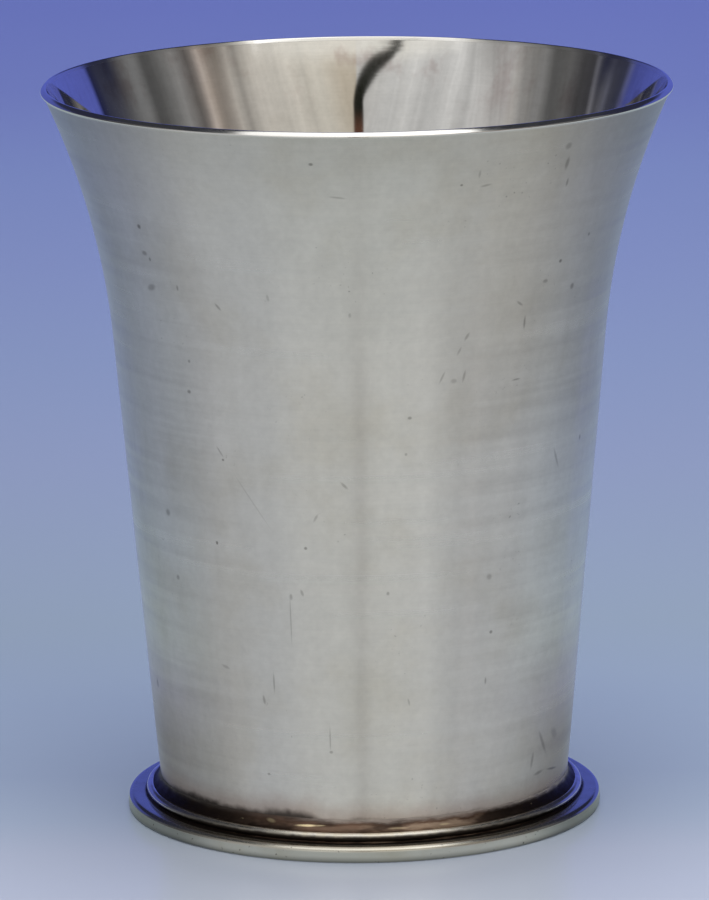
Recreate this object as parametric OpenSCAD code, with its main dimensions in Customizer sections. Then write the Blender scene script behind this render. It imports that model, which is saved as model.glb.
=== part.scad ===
// Flared silver julep cup. A thin tapered wall opens into a flared mouth and
// ends in a round wire lip. A domed bottom is soldered inside its lower end,
// and a bead over a flat band makes the stepped foot round the outside.
// Millimetres, +Z up. The origin is on the ground at the middle of the foot.

/* [Cup] */
// Overall height, from the ground to the top of the lip
cup_h = 95; // [88:0.5:110]
// Outside diameter of the mouth, over the lip
mouth_d = 81; // [76:0.5:90]

/* [Wall] */
// Thickness of the wall
wall_t = 0.7; // [0.5:0.05:1]
// Height of the wall's lower edge above the ground
wall_low_z = 0.5; // [0.2:0.1:1]
// Height at which the straight taper ends and the flare begins
flare_low_z = 62.5; // [50:0.5:76]
// Outside diameter of the wall where the flare begins
flare_low_d = 63.5; // [60:0.1:66]

/* [Lip] */
// Diameter of the wire round the lip
lip_d = 0.95; // [0.8:0.05:1.6]
// Distance from the wire's middle to the flat that sits on the wall's edge
lip_flat = 0.2; // [0.1:0.05:0.3]

/* [Foot] */
// Outside diameter of the foot band
foot_d = 61.6; // [58:0.2:68]
// Width of the foot band, from its outer edge in to the wall's lower edge
band_w = 4.55; // [4:0.05:5.5]
// Height of the foot band
band_h = 2; // [1.6:0.1:2.4]
// Radius of the band's upper outer edge
band_top_r = 0.6; // [0.3:0.05:0.8]
// Radius of the band's lower outer edge
band_low_r = 0.4; // [0.2:0.05:0.6]
// Diameter of the bead that lies on the band
bead_d = 1.3; // [1.1:0.05:1.6]
// Distance from the wall out to the bead's middle
bead_out = 1.35; // [1.2:0.05:1.6]
// Depth of the flat by which the bead sits on the band
bead_flat = 0.1; // [0.05:0.05:0.2]

/* [Bottom] */
// Thickness of the bottom disc
bottom_t = 0.8; // [0.5:0.05:1.2]
// Height of the disc's lower edge above the ground
bottom_z = 2.4; // [2:0.1:2.8]
// Rise of the disc's middle over its edge
bottom_rise = 0.8; // [0.4:0.1:1]

/* [Solder] */
// Radius of the hollow faces of the solder at the foot and at the bottom
hollow_r = 1.8; // [1.6:0.05:2.4]
// Reach of the foot's solder up the wall, above the bead's middle
cove_h = 2.1; // [1.9:0.1:2.4]
// Angle round the bead at which the foot's solder ends, up from level
cove_angle = 105; // [98:1:112]
// Width of the groove's solder on the band, out from where it leaves the bead
groove_w = 0.3; // [0.2:0.05:0.4]
// Angle round the bead at which the groove's solder ends, down from level
groove_angle = 38; // [30:1:44]
// Leg of the solder in the corner under the bottom disc
bottom_leg = 0.9; // [0.5:0.1:1.2]

/* [Hidden] */

// Overrun of the shapes that cut others
over = 5;
// Facets of a full turn, and of the wide arcs in the flare and the bottom
turn_fn = 240;
arc_fn = 2400;

// A point at a distance outward and down, square to a slope that leans outward
function off_slope(from, lean, dist) = from + dist * [cos(lean), -sin(lean)];

// Centre of an arc through two points, to the right of the way between them
function arc_centre(a, b, r) =
    let (half = (b - a) / 2)
    (a + b) / 2 + sqrt(r * r - half * half) * [half[1], -half[0]] / norm(half);

// The wall stands inside the foot band and leans outward in a straight taper
wall_low_d = foot_d - 2 * band_w;
low_lean = atan((flare_low_d - wall_low_d) / 2 / (flare_low_z - wall_low_z));
function taper_r(z) = wall_low_d / 2 + tan(low_lean) * (z - wall_low_z);
function inner_r(z) = taper_r(z) - wall_t / cos(low_lean);

// The flare carries on from the taper and ends at the lip's wire. Its radius
// is found on the line in the wall that runs through the wire's middle.
lip_centre = [(mouth_d - lip_d) / 2, cup_h - lip_d / 2];
lip_inset = wall_t - sqrt(pow(lip_d / 2, 2) - pow(lip_flat, 2));
flare_low = [flare_low_d / 2, flare_low_z];
line_low = off_slope(flare_low, low_lean, -lip_inset);
line_run = lip_centre - line_low;
top_lean = 2 * atan2(line_run[0], line_run[1]) - low_lean;
line_r = line_run[1] / (sin(top_lean) - sin(low_lean));
flare_centre = off_slope(line_low, low_lean, line_r);
flare_r = line_r - lip_inset;

// The bead lies on the band and stands out from the taper
bead_z = band_h + bead_d / 2 - bead_flat;
bead_centre = [taper_r(bead_z) + bead_out, bead_z];
function on_bead(angle) = bead_centre + bead_d / 2 * [cos(angle), sin(angle)];

// The bottom is a shallow dome between two spheres
dome_r = (pow(inner_r(bottom_z), 2) + pow(bottom_rise, 2)) / 2 / bottom_rise;
dome_centre = [0, bottom_z + bottom_rise - dome_r];
function dome_z(r) = dome_centre[1] + sqrt(dome_r * dome_r - r * r);

// Half of the cup's section: all that lies inside a surface of the wall,
// the outer one for an inset of 0 and the inner one for the wall's thickness
module within_wall(inset) {
    inset_low = [taper_r(-over) - inset / cos(low_lean), -over];
    difference() {
        polygon([[0, -over], inset_low, off_slope(flare_low, low_lean, -inset),
                 [mouth_d / 2 + lip_d, cup_h], [0, cup_h]]);
        translate(flare_centre) circle(r = flare_r + inset, $fn = arc_fn);
    }
}

// All that lies beyond the flat of the lip's wire
module beyond_lip_flat() {
    translate(lip_centre) rotate(-top_lean)
        translate([-over, -lip_flat]) square([2 * over, over]);
}

module bead_round() {
    translate(bead_centre) circle(d = bead_d, $fn = turn_fn);
}

module dome_round(grow) {
    translate(dome_centre) circle(r = dome_r + grow, $fn = arc_fn);
}

module turned() {
    rotate_extrude($fn = turn_fn) children();
}

module body_wall() {
    color("silver") turned() difference() {
        intersection() {
            within_wall(0);
            translate([0, wall_low_z]) square([mouth_d, cup_h]);
        }
        within_wall(wall_t);
        beyond_lip_flat();
    }
}

module lip_wire() {
    color("gainsboro") turned() intersection() {
        translate(lip_centre) circle(d = lip_d, $fn = turn_fn);
        beyond_lip_flat();
    }
}

module bottom_disc() {
    color("darkgray") turned() intersection() {
        difference() {
            dome_round(bottom_t);
            dome_round(0);
        }
        within_wall(wall_t);
    }
}

module foot_band() {
    flat_r = foot_d / 2 - band_top_r;
    sole_r = foot_d / 2 - band_low_r;
    side_h = band_h - band_top_r - band_low_r;
    color("lightgray") turned() difference() {
        union() {
            square([flat_r, band_h]);
            square([sole_r, band_h - band_top_r]);
            translate([0, band_low_r]) square([foot_d / 2, side_h]);
            translate([flat_r, band_h - band_top_r]) circle(r = band_top_r, $fn = turn_fn);
            translate([sole_r, band_low_r]) circle(r = band_low_r, $fn = turn_fn);
        }
        within_wall(0);
    }
}

module foot_bead() {
    color("gainsboro") turned() difference() {
        intersection() {
            union() {
                bead_round();
                square(bead_centre);
            }
            translate([0, band_h]) square([foot_d, bead_d]);
        }
        within_wall(0);
    }
}

module foot_solder() {
    wall_z = bead_centre[1] + cove_h;
    hollow_centre = arc_centre(on_bead(cove_angle), [taper_r(wall_z), wall_z], hollow_r);
    color("saddlebrown") turned() difference() {
        polygon([[0, bead_centre[1]], bead_centre, hollow_centre, [0, hollow_centre[1]]]);
        translate(hollow_centre) circle(r = hollow_r, $fn = turn_fn);
        bead_round();
        within_wall(0);
    }
}

module groove_solder() {
    bead_end = on_bead(-groove_angle);
    band_end = [bead_end[0] + groove_w, band_h];
    color("peru") turned() difference() {
        polygon([bead_centre, [bead_centre[0], band_h], band_end, bead_end]);
        bead_round();
    }
}

module bottom_solder() {
    corner = [inner_r(bottom_z), bottom_z];
    wall_end = [inner_r(bottom_z - bottom_leg), bottom_z - bottom_leg];
    disc_end = [wall_end[0] - bottom_leg, dome_z(wall_end[0] - bottom_leg)];
    hollow_centre = arc_centre(disc_end, wall_end, hollow_r);
    color("tan") turned() difference() {
        intersection() {
            polygon([hollow_centre, [corner[0], hollow_centre[1]], corner,
                     [hollow_centre[0], dome_z(hollow_centre[0])]]);
            within_wall(wall_t);
        }
        translate(hollow_centre) circle(r = hollow_r, $fn = turn_fn);
    }
}

body_wall();
lip_wire();
bottom_disc();
foot_band();
foot_bead();
foot_solder();
groove_solder();
bottom_solder();
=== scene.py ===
"""A flared silver julep cup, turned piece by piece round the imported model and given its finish.

Every piece is turned from a section worked out in metres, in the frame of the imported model. The
sections follow the same sizes as the solids: those that the frame shows are read from it.
"""

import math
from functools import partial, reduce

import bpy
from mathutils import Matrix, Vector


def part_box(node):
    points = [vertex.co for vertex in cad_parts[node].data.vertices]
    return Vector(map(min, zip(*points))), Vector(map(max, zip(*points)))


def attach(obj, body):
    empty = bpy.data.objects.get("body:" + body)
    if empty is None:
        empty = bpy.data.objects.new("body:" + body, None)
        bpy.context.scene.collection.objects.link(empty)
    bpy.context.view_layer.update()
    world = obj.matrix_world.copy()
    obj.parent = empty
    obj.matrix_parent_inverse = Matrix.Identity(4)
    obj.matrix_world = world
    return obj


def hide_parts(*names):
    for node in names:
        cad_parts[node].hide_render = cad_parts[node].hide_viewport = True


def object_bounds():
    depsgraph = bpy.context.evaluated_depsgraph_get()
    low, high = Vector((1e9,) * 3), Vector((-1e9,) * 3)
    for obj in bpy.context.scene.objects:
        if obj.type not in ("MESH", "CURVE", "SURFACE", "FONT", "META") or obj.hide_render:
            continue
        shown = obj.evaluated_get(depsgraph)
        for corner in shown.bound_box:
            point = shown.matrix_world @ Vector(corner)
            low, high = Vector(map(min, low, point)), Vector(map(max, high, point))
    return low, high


bl_info = {
    "name": "Silver Julep Cup",
    "version": (1, 0, 0),
    "blender": (4, 5, 0),
    "location": "3D View > Sidebar > Julep Cup",
    "description": "Turns the pieces of a silver cup and gives each its polish, wear and tarnish",
    "category": "Object",
}

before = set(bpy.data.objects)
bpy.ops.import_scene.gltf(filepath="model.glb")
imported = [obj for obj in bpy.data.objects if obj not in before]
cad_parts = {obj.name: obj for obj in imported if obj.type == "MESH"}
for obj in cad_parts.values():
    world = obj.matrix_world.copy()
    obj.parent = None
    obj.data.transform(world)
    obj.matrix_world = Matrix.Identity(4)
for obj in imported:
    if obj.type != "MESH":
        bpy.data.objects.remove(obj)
cad_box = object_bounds()

MM = 0.001
ROOT = "root"
UV_MAP = "UVMap"
WHITE = (1.0, 1.0, 1.0)
# Height of the camera's frame in millimetres, and how far it sees in metres
CAMERA_FRAME = 36.0
CAMERA_REACH = 50.0
mouth = cad_box[1]
band_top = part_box("foot_band")[1]
wall_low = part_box("body_wall")[0]
disc_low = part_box("bottom_disc")[0]


def maker(kind, **fixed):
    """Makes properties of one kind, each from its name, what it is and its default."""
    def made(name, description, default, **more):
        return kind(name=name, description=description, default=default, **fixed, **more)
    return made


length = maker(bpy.props.FloatProperty, unit="LENGTH", precision=5)
angle = maker(bpy.props.FloatProperty, subtype="ANGLE")
colour = maker(bpy.props.FloatVectorProperty, subtype="COLOR", size=3, min=0.0, max=1.0)
share = maker(bpy.props.FloatProperty, min=0.0, max=1.0)
strength = maker(bpy.props.FloatProperty, min=0.0)


class JulepSizes(bpy.types.PropertyGroup):
    """Sizes of the cup's sections."""

    cup_h: length("Height", "From the ground to the top of the lip", mouth.z)
    mouth_r: length("Mouth radius", "Out to the lip's wire", mouth.x)
    wall_t: length("Wall", "Thickness of the wall", 0.7 * MM)
    wall_low_z: length("Wall's lower edge", "Its height above the ground", wall_low.z)
    flare_low_z: length("Flare's height", "Where the taper ends and the flare begins", 62.5 * MM)
    flare_low_r: length("Flare's radius", "Outside radius where the flare begins", 31.75 * MM)
    lip_r: length("Lip wire", "Radius of the wire round the lip", 0.475 * MM)
    lip_flat: length("Lip flat", "From the wire's middle to its seat on the wall", 0.2 * MM)
    lip_face: length("Lip's face", "Radius of the wire's face worn outward and up", 1.15 * MM)
    lip_edge: length("Lip's edges", "Radius over and under the worn face", 0.22 * MM)
    lip_inner: length("Lip's inner edge", "Radius of its upper edge inside the mouth", 0.18 * MM)
    foot_r: length("Foot radius", "Outside radius of the foot band", band_top.x)
    band_w: length("Band width", "From the band's outer edge in to the wall", 4.55 * MM)
    band_h: length("Band height", "Height of the foot band", band_top.z)
    band_top_r: length("Band's upper edge", "Radius of its rounding", 0.6 * MM)
    band_low_r: length("Band's lower edge", "Radius of its rounding", 0.4 * MM)
    bead_r: length("Bead", "Radius of the bead on the band", 0.65 * MM)
    bead_out: length("Bead's place", "From the wall out to the bead's middle", 1.35 * MM)
    bead_flat: length("Bead flat", "Depth of the flat that it sits by", 0.1 * MM)
    bottom_t: length("Bottom", "Thickness of the bottom disc", 0.8 * MM)
    bottom_z: length("Bottom's height", "Height of the disc's lower edge", disc_low.z)
    bottom_rise: length("Bottom's rise", "Rise of its middle over its edge", 0.8 * MM)
    hollow_r: length("Solder's hollow", "Radius of the solder's hollow faces", 1.8 * MM)
    cove_h: length("Cove", "Reach of the foot's solder above the bead's middle", 2.1 * MM)
    groove_w: length("Groove", "Width of the groove's solder on the band", 0.3 * MM)
    bottom_leg: length("Bottom leg", "Leg of the solder under the disc", 0.9 * MM)
    cove_angle: angle("Cove's angle", "Where the foot's solder ends on the bead, up from level",
                      math.radians(105))
    groove_angle: angle("Groove's angle", "Where the groove's solder ends, down from level",
                        math.radians(38))
    turns: bpy.props.IntProperty(
        name="Turning steps", description="Faces round a turned piece", default=360, min=24)


class JulepFinish(bpy.types.PropertyGroup):
    """Colours and polish of the silver and of the solder."""

    silver: colour("Silver", "Clean sterling silver", (0.93, 0.91, 0.87))
    tarnish: colour("Tarnish", "Thin warm tarnish in clouds", (0.72, 0.66, 0.54))
    oxide: colour("Oxide", "Dark tarnish in corners and pits", (0.030, 0.022, 0.018))
    solder: colour("Solder", "Solder gone brown", (0.17, 0.10, 0.07))
    stain: colour("Stain", "Lighter brown where the solder meets the bead", (0.34, 0.25, 0.18))
    smudge: colour("Smudge", "Purple brown tarnish inside", (0.58, 0.46, 0.43))
    fleck: colour("Fleck", "Clean flecks in the solder", (0.80, 0.66, 0.40))
    # Painted shade on the wall's upper right
    painted_dusk: colour("Dusk", "Shade of the wall on the upper right", (0.92, 0.885, 0.82))
    singe: colour("Singe", "Brown of the wall over the foot", (0.52, 0.36, 0.29))
    band_tint: colour("Band", "Tint of the foot band", (0.95, 0.98, 0.95))
    rubbed: colour("Rubbed", "Solder rubbed pale on the wall", (0.58, 0.50, 0.45))
    satin: share("Satin", "Roughness of the wall outside", 0.30)
    bright: share("Bright", "Roughness of the wall inside", 0.05)
    wire: share("Wire", "Roughness of the lip and the bead", 0.12)
    brushing: share("Brushing", "How much the polish runs round the cup", 0.96)
    brushing_in: share("Brushing inside", "The same inside", 0.5)


class JulepStage(bpy.types.PropertyGroup):
    """Camera, floor and light."""

    aim: bpy.props.FloatVectorProperty(
        name="Aim", description="Point that the camera looks at", subtype="TRANSLATION",
        default=(-0.796 * MM, 0.0, 46.873 * MM))
    distance: length("Distance", "From the camera to that point", 0.85)
    elevation: angle("Elevation", "Height of the camera over that point, as an angle",
                     math.radians(12.036))
    roll: angle("Roll", "Lean of the camera", math.radians(-0.618))
    lens: strength("Lens", "Focal length on a frame 36 mm high, in millimetres", 262.65)
    floor_r: length("Floor", "Radius of the floor", 6.0)
    lamp: strength("Lamp", "Brightness of the soft box overhead", 1.25)
    paper_lamp: strength("Paper lamp", "Power of the disc over the paper, in watts", 60.0)
    paper_lamp_y: length("Paper lamp's place", "How far it hangs behind the cup", 0.6)
    paper_lamp_z: length("Paper lamp's height", "How high it hangs", 2.5)
    paper_lamp_size: length("Paper lamp's size", "Diameter of its disc", 3.0)
    light: strength("Light", "Brightness of all the light", 1.0)


def sizes():
    return bpy.context.scene.julep_sizes


def finish():
    return bpy.context.scene.julep_finish


def stage():
    return bpy.context.scene.julep_stage


# Sections, as points (radius, height) in metres, with the metal on the left of the way

LINE_STEP = 0.8 * MM
EDGE_STEP = 0.3 * MM
ARC_STEP = math.radians(7)
# Steps over half the dome, coarse and fine, and rounds in which its edge is found
DOME_STEPS = 40
FINE_DOME_STEPS = 240
DOME_ROUNDS = 8
GROOVE_STEPS = 3
# Angles at which the lip's worn face begins and ends, up from level, and where its edge begins
LIP_FACE_ENDS = math.radians(30), math.radians(60)
LIP_FACE_STEP = math.radians(3)
LIP_UNDER = math.radians(-65)


def line(a, b, step=LINE_STEP):
    """Points from a towards b, without b."""
    a, b = Vector(a), Vector(b)
    count = max(1, math.ceil((b - a).length / step))
    return [a.lerp(b, i / count) for i in range(count)]


def polar(turn):
    """Way that lies at an angle."""
    return Vector((math.cos(turn), math.sin(turn)))


def outward(lean):
    """Way square to a wall that leans outward."""
    return polar(-lean)


def arc(centre, radius, start, end, step=ARC_STEP):
    """Points round a centre from one angle to another, without the last."""
    count = max(2, math.ceil(abs(end - start) / step))
    turned = (start + (end - start) * i / count for i in range(count))
    return [Vector(centre) + radius * polar(turn) for turn in turned]


def bearing(centre, point):
    """Angle at which a point lies from a centre."""
    return math.atan2(point[1] - centre[1], point[0] - centre[0])


def hollow(a, b, radius):
    """Points of a hollow arc from a towards b, with its centre on the right of the way."""
    half = (b - a) / 2
    across = Vector((half.y, -half.x)).normalized()
    centre = a + half + across * math.sqrt(radius ** 2 - half.length_squared)
    start = bearing(centre, a)
    return arc(centre, radius, start, start + math.remainder(bearing(centre, b) - start, math.tau))


def closed(points):
    """A way round that ends where it began."""
    return points + points[:1]


class Section:
    """Places in the cup's section that more than one piece needs."""

    def __init__(self, s):
        self.s = s
        self.wall_low_r = s.foot_r - s.band_w
        self.low_lean = math.atan((s.flare_low_r - self.wall_low_r)
                                  / (s.flare_low_z - s.wall_low_z))
        self.flare_low = Vector((s.flare_low_r, s.flare_low_z))
        self.lip_centre = Vector((s.mouth_r - s.lip_r, s.cup_h - s.lip_r))
        lip_inset = s.wall_t - math.sqrt(s.lip_r ** 2 - s.lip_flat ** 2)
        line_low = self.flare_low - lip_inset * outward(self.low_lean)
        run = self.lip_centre - line_low
        self.top_lean = 2 * math.atan2(run.x, run.y) - self.low_lean
        line_r = run.y / (math.sin(self.top_lean) - math.sin(self.low_lean))
        self.flare_centre = line_low + line_r * outward(self.low_lean)
        self.flare_r = line_r - lip_inset
        bead_z = s.band_h + s.bead_r - s.bead_flat
        self.bead_centre = self.on_wall(bead_z) + Vector((s.bead_out, 0.0))
        self.bead_seat = Vector((self.bead_centre.x
                                 + math.sqrt(s.bead_r ** 2 - (bead_z - s.band_h) ** 2), s.band_h))
        self.dome_r = (self.in_wall(s.bottom_z).x ** 2 + s.bottom_rise ** 2) / 2 / s.bottom_rise
        self.dome_centre_z = s.bottom_z + s.bottom_rise - self.dome_r

    def on_wall(self, z):
        """Point on the taper's outer face."""
        return Vector((self.wall_low_r + math.tan(self.low_lean) * (z - self.s.wall_low_z), z))

    def in_wall(self, z):
        """Point on the taper's inner face."""
        return self.on_wall(z) - Vector((self.s.wall_t / math.cos(self.low_lean), 0.0))

    def on_bead(self, turn):
        return self.bead_centre + self.s.bead_r * polar(turn)

    def dome(self, reach, grow, count=DOME_STEPS):
        """Points over the bottom's dome from the axis out to a radius."""
        radius = self.dome_r + grow
        across = (reach * i / count for i in range(count + 1))
        return [Vector((r, self.dome_centre_z + math.sqrt(radius ** 2 - r ** 2))) for r in across]

    def dome_edge(self, grow):
        """Radius at which the dome meets the wall inside, found in a few rounds."""
        radius = self.dome_r + grow
        edge = self.in_wall(self.s.bottom_z + grow)
        for _ in range(DOME_ROUNDS):
            edge = self.in_wall(self.dome_centre_z + math.sqrt(radius ** 2 - edge.x ** 2))
        return edge.x

    def flare(self, inset):
        """Points up the flare from the taper to the lip's flat, for a face that far inside."""
        radius = self.flare_r + inset
        top = math.pi - self.top_lean + math.asin(self.s.lip_flat / radius)
        return (arc(self.flare_centre, radius, math.pi - self.low_lean, top, LINE_STEP / radius)
                + [self.flare_centre + radius * polar(top)])


def wall_section(c):
    """Up the outside and down the inside, and how many points the outside has."""
    s = c.s
    inner_low = c.flare_low - s.wall_t * outward(c.low_lean)
    outside = line(c.on_wall(s.wall_low_z), c.flare_low) + c.flare(0)
    inside = line(c.in_wall(s.wall_low_z), inner_low) + c.flare(s.wall_t)
    return closed(outside + inside[::-1]), len(outside)


def lip_section(c):
    """Round the wire, from its seat's outer end over its worn face and down inside the mouth."""
    s = c.s
    low, high = LIP_FACE_ENDS
    rise = (s.lip_edge * (1 + math.sin(low) - math.sin(high))
            + s.lip_face * (math.sin(high) - math.sin(low)))
    down = -math.pi / 2 - c.top_lean
    half = math.acos(s.lip_flat / s.lip_r)
    seat_out = c.lip_centre + s.lip_r * polar(down + half)
    seat_in = c.lip_centre + s.lip_r * polar(down - half)
    under = Vector((s.mouth_r - s.lip_edge, s.cup_h - rise))
    face = under + (s.lip_edge - s.lip_face) * polar(low)
    over = face + (s.lip_face - s.lip_edge) * polar(high)
    run = s.cup_h - s.lip_inner * (1 - math.sin(c.top_lean)) - seat_in.y
    top_in = seat_in + Vector((math.tan(c.top_lean) * run, run))
    back = top_in + s.lip_inner * outward(c.top_lean)
    return closed([seat_out]
                  + arc(under, s.lip_edge, LIP_UNDER, low)
                  + arc(face, s.lip_face, low, high, LIP_FACE_STEP)
                  + arc(over, s.lip_edge, high, math.pi / 2)
                  + arc(back, s.lip_inner, math.pi / 2, math.pi - c.top_lean)
                  + [top_in, seat_in])


def disc_section(c):
    """From the axis under the disc out to the wall, and back over it."""
    thick = c.s.bottom_t
    return c.dome(c.dome_edge(0), 0) + c.dome(c.dome_edge(thick), thick)[::-1]


def band_section(c):
    """Under the band, up its rounded side and back to the wall."""
    s = c.s
    top_x, top_z = s.foot_r - s.band_top_r, s.band_h - s.band_top_r
    sole = s.foot_r - s.band_low_r
    foot_in, top_in = c.on_wall(0), c.on_wall(s.band_h)
    return closed(line(foot_in, (sole, 0))
                  + arc((sole, s.band_low_r), s.band_low_r, -math.pi / 2, 0)
                  + line((s.foot_r, s.band_low_r), (s.foot_r, top_z), EDGE_STEP)
                  + arc((top_x, top_z), s.band_top_r, 0, math.pi / 2)
                  + line((top_x, s.band_h), top_in, EDGE_STEP)
                  + line(top_in, foot_in))


def bead_section(c):
    """Out along the band, round the bead and back over the ledge that joins it to the wall."""
    corner = c.on_wall(c.s.band_h)
    ledge = c.on_bead(math.pi)
    ledge_in = c.on_wall(ledge.y)
    return closed(line(corner, c.bead_seat)
                  + arc(c.bead_centre, c.s.bead_r, bearing(c.bead_centre, c.bead_seat), math.pi)
                  + line(ledge, ledge_in)
                  + line(ledge_in, corner))


def foot_solder_section(c):
    """Up the hollow face, down the wall, out along the ledge and up over the bead."""
    s = c.s
    top = c.on_wall(c.bead_centre.y + s.cove_h)
    ledge = c.on_bead(math.pi)
    ledge_in = c.on_wall(ledge.y)
    return closed(hollow(c.on_bead(s.cove_angle), top, s.hollow_r)
                  + line(top, ledge_in)
                  + line(ledge_in, ledge)
                  + arc(c.bead_centre, s.bead_r, math.pi, s.cove_angle))


def groove_solder_section(c):
    """Up the face to the bead, down the bead and out along the band."""
    s = c.s
    on_bead = c.on_bead(-s.groove_angle)
    on_band = Vector((on_bead.x + s.groove_w, s.band_h))
    seat_turn = bearing(c.bead_centre, c.bead_seat)
    return closed(line(on_band, on_bead, s.groove_w / GROOVE_STEPS)
                  + arc(c.bead_centre, s.bead_r, -s.groove_angle, seat_turn)
                  + line(c.bead_seat, on_band))


def bottom_solder_section(c):
    """Down the hollow face, up the wall and back under the disc."""
    s = c.s
    low = c.in_wall(s.bottom_z - s.bottom_leg)
    under = c.dome(c.in_wall(s.bottom_z).x, 0, FINE_DOME_STEPS)
    under = [p for p in under if p.x > low.x - s.bottom_leg][::-1]
    return closed(hollow(under[-1], low, s.hollow_r) + line(low, under[0]) + under[:-1])


# Nodes

class Nodes:
    """Adds nodes to a tree in few words. Sockets are given by name or by place."""

    def __init__(self, tree):
        self.tree = tree

    @staticmethod
    def pick(sockets, key):
        if isinstance(key, int):
            return sockets[key]
        return next(s for s in sockets if s.name == key and s.enabled)

    def feed(self, socket, value):
        """Links a socket, or sets its value. A colour is given as red, green and blue."""
        if isinstance(value, bpy.types.NodeSocket):
            self.tree.links.new(value, socket)
        elif socket.type == "RGBA":
            socket.default_value = (*value, 1.0)
        else:
            socket.default_value = value

    def add(self, kind, inputs=None, **settings):
        node = self.tree.nodes.new(kind)
        for name, value in settings.items():
            setattr(node, name, value)
        for key, value in (inputs or {}).items():
            self.feed(self.pick(node.inputs, key), value)
        return node

    def out(self, kind, key, inputs=None, **settings):
        """One output of a new node."""
        return self.pick(self.add(kind, inputs, **settings).outputs, key)

    def math(self, operation, *values):
        return self.out("ShaderNodeMath", 0, dict(enumerate(values)), operation=operation)

    def plus(self, *values):
        return reduce(partial(self.math, "ADD"), values)

    def minus(self, a, b):
        return self.math("SUBTRACT", a, b)

    def times(self, *values):
        return reduce(partial(self.math, "MULTIPLY"), values)

    def most(self, *values):
        return reduce(partial(self.math, "MAXIMUM"), values)

    def apart(self, value, middle=0.0):
        """How far a value lies from a middle one, either way."""
        return self.math("ABSOLUTE", self.minus(value, middle))

    def turned(self, x, y):
        """Degrees round from the front, to the right."""
        return self.math("DEGREES", self.math("ARCTAN2", x, self.times(y, -1.0)))

    def vector(self, operation, *values):
        return self.out("ShaderNodeVectorMath", "Vector", dict(enumerate(values)),
                        operation=operation)

    def size(self, value):
        """Length of a vector."""
        return self.out("ShaderNodeVectorMath", "Value", {0: value}, operation="LENGTH")

    def split(self, value):
        return self.add("ShaderNodeSeparateXYZ", {0: value}).outputs

    def join(self, *values):
        return self.out("ShaderNodeCombineXYZ", 0, dict(enumerate(values)))

    def fit(self, value, low, high, to_low=0.0, to_high=1.0, kind="SMOOTHSTEP"):
        """A value fitted softly from one range to another and kept in it."""
        return self.out("ShaderNodeMapRange", "Result", {
            "Value": value, "From Min": low, "From Max": high, "To Min": to_low,
            "To Max": to_high}, interpolation_type=kind)

    def even(self, value, low, high, to_low, to_high):
        """A value fitted in a straight line, and kept in its range."""
        return self.fit(value, low, high, to_low, to_high, "LINEAR")

    def mix(self, factor, a, b, kind="MIX"):
        """Two colours mixed."""
        return self.out("ShaderNodeMix", "Result", {"Factor": factor, "A": a, "B": b},
                        data_type="RGBA", blend_type=kind)

    def tinted(self, base, tone):
        """A colour multiplied by another, or by a brightness."""
        return self.mix(1.0, base, tone, "MULTIPLY")

    def noise(self, place, scale=1.0, detail=2.0, roughness=0.5):
        return self.out("ShaderNodeTexNoise", 0, {
            "Vector": place, "Scale": scale, "Detail": detail, "Roughness": roughness})

    def stretched(self, place, *scales):
        """A place with each axis scaled by itself."""
        return self.vector("MULTIPLY", place, scales)

    def stops(self, value, stops, top):
        """A colour from a list of stops, each a place up to the top and a colour."""
        ramp = self.add("ShaderNodeValToRGB", {0: self.math("DIVIDE", value, top)})
        elements = ramp.color_ramp.elements
        for place, _ in stops[2:]:
            elements.new(place / top)
        for element, (place, tone) in zip(elements, stops):
            element.position = place / top
            element.color = (*tone, 1.0)
        return ramp.outputs[0]


# Turning

TURNING_INPUTS = (
    ("Section", "Geometry"), ("Steps", "Int"), ("Inner From", "Float"), ("Sharp Angle", "Float"),
    ("Dent Depth", "Float"), ("Dents Per Metre", "Float"), ("Outer", "Material"),
    ("Inner", "Material"))
# Points closer than this are joined, and edges sharper than this aren't smoothed
WELD = 0.001 * MM
SHARP = math.radians(35)


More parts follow.
